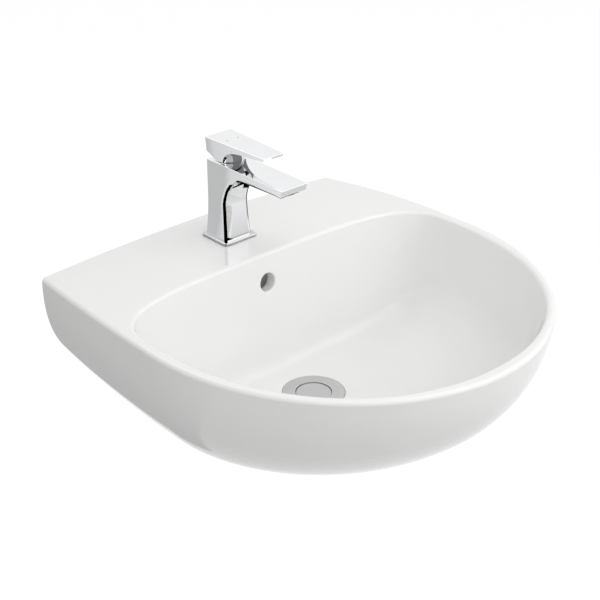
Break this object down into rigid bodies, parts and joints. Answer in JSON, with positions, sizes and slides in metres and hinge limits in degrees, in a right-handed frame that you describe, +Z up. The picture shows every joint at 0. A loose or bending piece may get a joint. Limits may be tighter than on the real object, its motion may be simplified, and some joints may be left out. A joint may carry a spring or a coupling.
{
  "type": "wall-hung washbasin",
  "caption": "Wall-hung D-shaped china washbasin with a single-lever chrome mixer, an overflow and a push-plug waste.",
  "frame": {"origin": "on the wall plane, midway between the two wall bolts", "axes": "+Z up, +Y into the wall, +X to the right seen from the front; the basin stands out from the wall towards -Y"},
  "size_m": [0.48, 0.551, 0.358],
  "materials": {
    "china": "gloss white glaze",
    "chrome": "polished",
    "satin_steel": "satin",
    "zinc_steel": "zinc plated",
    "brass": "machined",
    "rubber": "matt",
    "nylon": "natural",
    "acetal": "moulded",
    "spindle": "moulded",
    "alumina": "lapped",
    "hot_red": "enamel",
    "cold_blue": "enamel"
  },
  "bodies": {
    "basin_set": {"basin": "china", "wall_bolt_left": "zinc_steel", "wall_bolt_right": "zinc_steel", "bolt_bush_left": "nylon", "bolt_bush_right": "nylon", "bolt_washer_left": "zinc_steel", "bolt_washer_right": "zinc_steel", "bolt_nut_left": "zinc_steel", "bolt_nut_right": "zinc_steel", "tap_base_seal": "rubber", "tap_base_plate": "chrome", "tap_body": "chrome", "cartridge_housing": "acetal", "fixed_disc": "alumina", "cartridge_cover": "chrome", "aerator_ring": "chrome", "aerator_mesh": "acetal", "tap_stud": "zinc_steel", "horseshoe_gasket": "rubber", "horseshoe_washer": "zinc_steel", "stud_nut": "brass", "waste_body": "satin_steel", "flange_gasket": "rubber", "lower_seal": "rubber", "slip_washer": "nylon", "back_nut": "brass"},
    "turner": {"spindle": "spindle", "pivot_pin": "zinc_steel"},
    "lever_arm": {"lever": "chrome", "lever_stem": "brass", "lever_screw": "zinc_steel", "hot_mark": "hot_red", "cold_mark": "cold_blue"},
    "disc": {"moving_disc": "alumina"},
    "plug": {"plug_cap": "satin_steel", "plug_seal": "rubber", "plug_stem": "brass"}
  },
  "joints": [
    {"name": "lever_turn", "type": "hinge", "parent": "basin_set", "child": "turner", "pos_m": [0, -0.066, 0.16], "axis": [0, 0, 1], "range_deg": [-45, 45]},
    {"name": "lever_lift", "type": "hinge", "parent": "turner", "child": "lever_arm", "pos_m": [0, -0.066, 0.16], "axis": [-1, 0, 0], "range_deg": [0, 25]},
    {"name": "disc_slide", "type": "slide", "parent": "turner", "child": "disc", "axis": [0, -1, 0], "range_m": [0, 0.0054]},
    {"name": "plug_slide", "type": "slide", "parent": "basin_set", "child": "plug", "axis": [0, 0, 1], "range_m": [0, 0.009]}
  ],
  "couplings": [
    {"joint": "disc_slide", "follows": "lever_lift", "m_per_rad": 0.012302}
  ]
}
